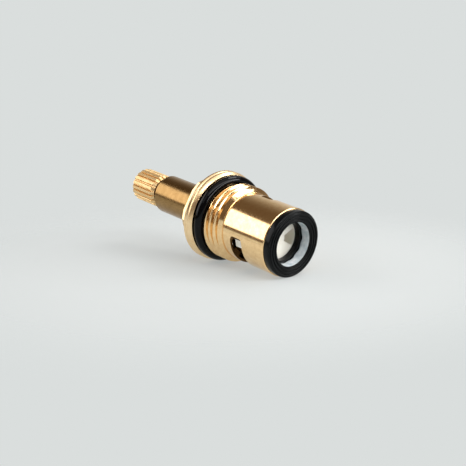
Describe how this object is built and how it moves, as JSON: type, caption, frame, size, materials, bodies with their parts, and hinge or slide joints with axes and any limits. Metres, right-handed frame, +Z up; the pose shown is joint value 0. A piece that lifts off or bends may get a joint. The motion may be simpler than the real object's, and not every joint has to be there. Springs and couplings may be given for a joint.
{
  "type": "ceramic disc tap cartridge",
  "caption": "Quarter-turn tap cartridge: brass body with a flange, thread and ported barrel, a splined spindle, ceramic discs inside and a rubber inlet seal.",
  "frame": {"origin": "on the cartridge axis, in the plane of the flange face that seats on the tap body", "axes": "+X along the axis towards the inlet seal, -X towards the handle spline, +Z up as the cartridge lies on its side"},
  "size_m": [0.0636, 0.0248, 0.0248],
  "materials": {
    "polished_brass": "polished",
    "turned_brass": "satin",
    "black_rubber": "satin",
    "ceramic": "satin",
    "spring_steel": "satin",
    "white_polymer": "matte",
    "pale_polymer": "gloss"
  },
  "bodies": {
    "body": {"housing": "polished_brass", "body_o_ring": "black_rubber", "thrust_washer": "white_polymer", "fixed_disc": "ceramic", "inlet_seal": "black_rubber", "seal_support_ring": "pale_polymer"},
    "rotor": {"spindle": "turned_brass", "upper_spindle_o_ring": "black_rubber", "lower_spindle_o_ring": "black_rubber", "circlip": "spring_steel", "moving_disc": "ceramic"}
  },
  "joints": [
    {"name": "spindle_turn", "type": "hinge", "parent": "body", "child": "rotor", "pos_m": [0, 0, 0], "axis": [1, 0, 0], "range_deg": [-50, 40]}
  ]
}
